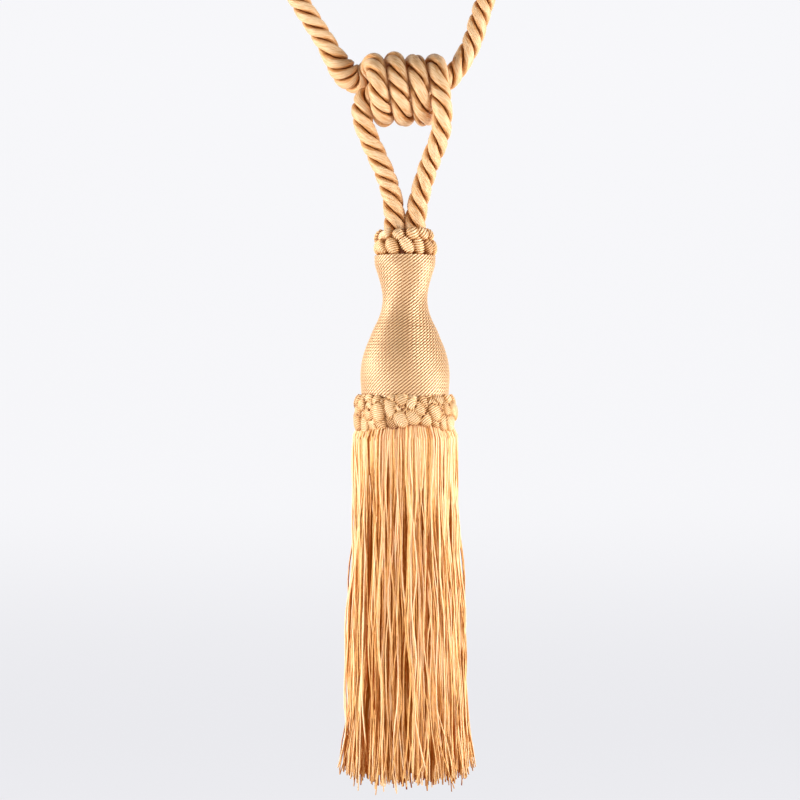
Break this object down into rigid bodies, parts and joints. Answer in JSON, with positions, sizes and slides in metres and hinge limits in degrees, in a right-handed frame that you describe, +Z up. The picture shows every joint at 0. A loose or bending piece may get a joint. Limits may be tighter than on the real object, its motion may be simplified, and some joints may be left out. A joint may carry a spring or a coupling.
{
  "type": "curtain tieback tassel",
  "caption": "Hanging tassel on a twisted rope loop with a barrel knot, a thread-wound head, two knotted ruffs and a cut fringe skirt; it ties back a curtain.",
  "frame": {"origin": "inside the top of the rope loop, where a hook or peg carries it", "axes": "+Z up along the tassel's axis, -Y towards the front, where the knot's turns show"},
  "size_m": [0.1477, 0.059, 0.605],
  "materials": {
    "rope_satin": "satin rayon, three strands laid left over right",
    "head_cord": "fine two-ply twisted cord, wound side by side",
    "braid_satin": "knots of flat satin thread",
    "fringe_yarn": "cut twisted yarns, satin"
  },
  "bodies": {
    "root": {"rope": "rope_satin", "head": "head_cord", "top_ruff": "braid_satin", "lower_ruff": "braid_satin", "skirt": "fringe_yarn"}
  },
  "joints": []
}
